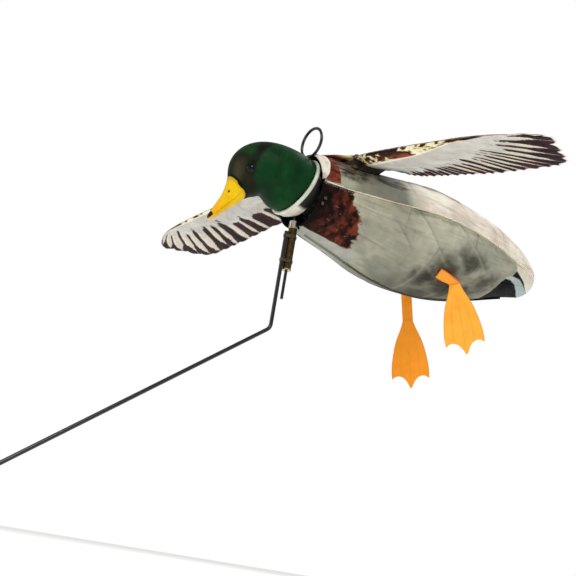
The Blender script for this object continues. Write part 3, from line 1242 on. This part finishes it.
def foot(side):
    """Foam foot with its strip, one sheet that bends at the fold."""
    data = FEET[side]
    start, fold = (np.array(p) for p in data["strip"])
    run_dir = unit(fold - start)
    outward = unit((0, start[1] * 0.0143, -0.6))
    strip_across = unit(np.cross(outward, run_dir))
    across = unit(data["across"])
    down = np.array(data["hang"]) - np.dot(data["hang"], across) * across
    down = unit(down)
    if np.dot(strip_across, across) < 0:
        strip_across = -strip_across
    leg, strip_length = data["leg"], np.linalg.norm(fold - start)
    ankle = leg + FOLD_GAP
    d = np.unique(np.r_[np.linspace(-strip_length, -6, 16), np.linspace(-6, 6, 17),
                        np.linspace(6, ankle + FOOT_LENGTH, 90)])
    q = np.linspace(-1, 1, 61)[None, :]
    soften, bevel_width, bevel_angle = 4.0, 0.5, 1.0
    before = np.where(d < 0, d, 0)
    after = np.where(d > 0, d, 0)
    ease = np.where(np.abs(d) < soften, (soften - np.abs(d)) ** 2 / (4 * soften), 0)
    centre = fold + before[:, None] * run_dir + after[:, None] * down
    centre = centre + ease[:, None] * (down - run_dir)
    turn = smooth(-strip_length, 0, d)[:, None]
    side_dir = strip_across * (1 - turn) + across * turn
    side_dir /= np.linalg.norm(side_dir, axis=1, keepdims=True)
    web = np.clip((d - ankle) / FOOT_LENGTH, 0, 1)
    half = np.where(web <= 0, LEG_HALF, foot_half_width(web))
    grid = centre[:, None] + side_dir[:, None] * (half[:, None] * q)[..., None]
    grid = grid - down * (web[:, None] * (FOOT_LENGTH - toe_reach(q)))[..., None]
    n = normals(grid)
    facing = unit(np.cross(down, across))
    curl = 2.0 * np.sin(np.pi * web)[:, None] * (q**2 - 0.3) + 1.2 * (web**2)[:, None]
    toes = np.cos(np.pi * 2 * q) * smooth(0.15, 0.6, web)[:, None] * 0.35
    grid = grid + facing * (curl * smooth(2, 20, d)[:, None])[..., None]
    place = xyz(d[:, None], half[:, None] * q, 30.0 * side)
    cloudy = layered(place, (26, 18, 9), 301)
    ridge = np.exp(-((np.abs(q) - 0.5) / 0.05) ** 2) + np.exp(-(q / 0.05) ** 2)
    strip_edge = smooth(0.75, 1.0, np.abs(q)) * smooth(2, -4, d)[:, None]
    paint = coats(
        painted(place.shape[:2], "#fdb138" if side == LEFT else "#fb9a1e"),
        ("#f7931c", 0.35 * smooth(0.0, 0.8, cloudy)),
        ("#e07f12", 0.22 * ridge * smooth(0.1, 0.4, web)[:, None]),
        ("#e0541a", 0.7 * np.exp(-(d / 1.6) ** 2)[:, None]),
        ("#ee6a22", 0.8 * strip_edge + 0.25 * smooth(3, -3, d)[:, None]))
    if leg:
        paint = over(paint, "#e07a14", 0.5 * np.exp(-((d - leg - 1) / 1.3) ** 2)[:, None])
    paint = over(paint, "#ee8a1a", 0.4 * smooth(0.93, 1.0, np.abs(q)))
    grid = grid + n * (toes * 0.5)[..., None]
    made = grid_piece(f"foot_foam_{SIDES[side]}", grid, paint)
    thicken(made, FOAM_T, CENTRED)
    bevel = made.modifiers.new("Rounded", "BEVEL")
    bevel.width, bevel.segments = bevel_width * MM, 2
    bevel.limit_method, bevel.angle_limit = "ANGLE", bevel_angle
    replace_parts(dress(made, FOAM), f"foot_{SIDES[side]}", f"leg_strip_{SIDES[side]}")
    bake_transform(made)


for side in SIDES:
    foot(side)

# --- cloth sizes -----------------------------------------------------------------------

def declare(made, layers=1):
    """Say what size of flat cloth a piece is cut from; a double layer counts once."""
    down, across, area = CUTS[made.name]
    across, area = across / layers, area / layers


declare(sides[LEFT])
declare(sides[RIGHT])
declare(back_cloth)
declare(yoke_cloth)
declare(tail_cloth)
declare(sleeve)
for side in SIDES:
    declare(cuffs[side])
    declare(wings[side], layers=2)
    declare(gussets[side])

# --- stage, light and camera -----------------------------------------------------------

def floor():
    size = 6.0
    paper = surface("studio_floor", "#f4f4f2", rough=0.9, spread=0.0, mottle=[(3, 0.985, 1.01)],
                    Emission_Color=(1, 1, 1, 1), Emission_Strength=0.3)
    mesh = bpy.data.meshes.new("studio_floor")
    corners = [(-size, -size, 0), (size, -size, 0), (size, size, 0), (-size, size, 0)]
    mesh.from_pydata(corners, [], [(0, 1, 2, 3)])
    made = bpy.data.objects.new("studio_floor", mesh)
    bpy.context.scene.collection.objects.link(made)
    dress(made, paper)


def area_light(name, place, target, size, power):
    lamp = bpy.data.lights.new(name, "AREA")
    lamp.shape, lamp.size, lamp.energy = "DISK", size, power
    made = bpy.data.objects.new(name, lamp)
    bpy.context.scene.collection.objects.link(made)
    made.location = place
    direction = np.array(target) - np.array(place)
    made.rotation_euler = Vector(direction).to_track_quat("-Z", "Y").to_euler()


def world():
    made = bpy.data.worlds.new("studio")
    bpy.context.scene.world = made
    made.use_nodes = True
    tree = made.node_tree
    tree.nodes.clear()
    light = tree.nodes.new("ShaderNodeBackground")
    light.inputs["Strength"].default_value = 0.5
    white = tree.nodes.new("ShaderNodeBackground")
    white.inputs["Strength"].default_value = 1.0
    for node in (light, white):
        node.inputs["Color"].default_value = (1, 1, 1, 1)
    ray = tree.nodes.new("ShaderNodeLightPath")
    mix = tree.nodes.new("ShaderNodeMixShader")
    out = tree.nodes.new("ShaderNodeOutputWorld")
    tree.links.new(ray.outputs["Is Camera Ray"], mix.inputs[0])
    tree.links.new(light.outputs[0], mix.inputs[1])
    tree.links.new(white.outputs[0], mix.inputs[2])
    tree.links.new(mix.outputs[0], out.inputs["Surface"])


def camera():
    data = bpy.data.cameras.new("camera")
    data.lens, data.sensor_width = 64.9, 36.0
    data.clip_start, data.clip_end = 0.01, 50
    made = bpy.data.objects.new("camera", data)
    bpy.context.scene.collection.objects.link(made)
    back = np.array([-0.5568, -0.7893, -0.2588])
    right = np.array([0.7818, -0.6032, 0.1578])
    up = np.cross(back, right)
    place = np.array([-736.8, -1055.06, -424.15])
    matrix = np.eye(4)
    matrix[:3, 0], matrix[:3, 1], matrix[:3, 2] = right, up, back
    matrix[:3, 3] = to_row(place)
    made.matrix_world = Matrix(matrix.tolist())
    bpy.context.scene.camera = made


floor()
world()
area_light("key", (-0.5, -1.7, 2.1), (0.45, 0, 0.45), 1.0, 25)
area_light("fill", (-1.6, 0.9, 1.0), (0.4, 0, 0.45), 1.4, 9)
area_light("rim", (1.9, 0.4, 1.9), (0.5, 0, 0.5), 1.0, 16)
camera()
bpy.context.scene.view_settings.view_transform = "Standard"
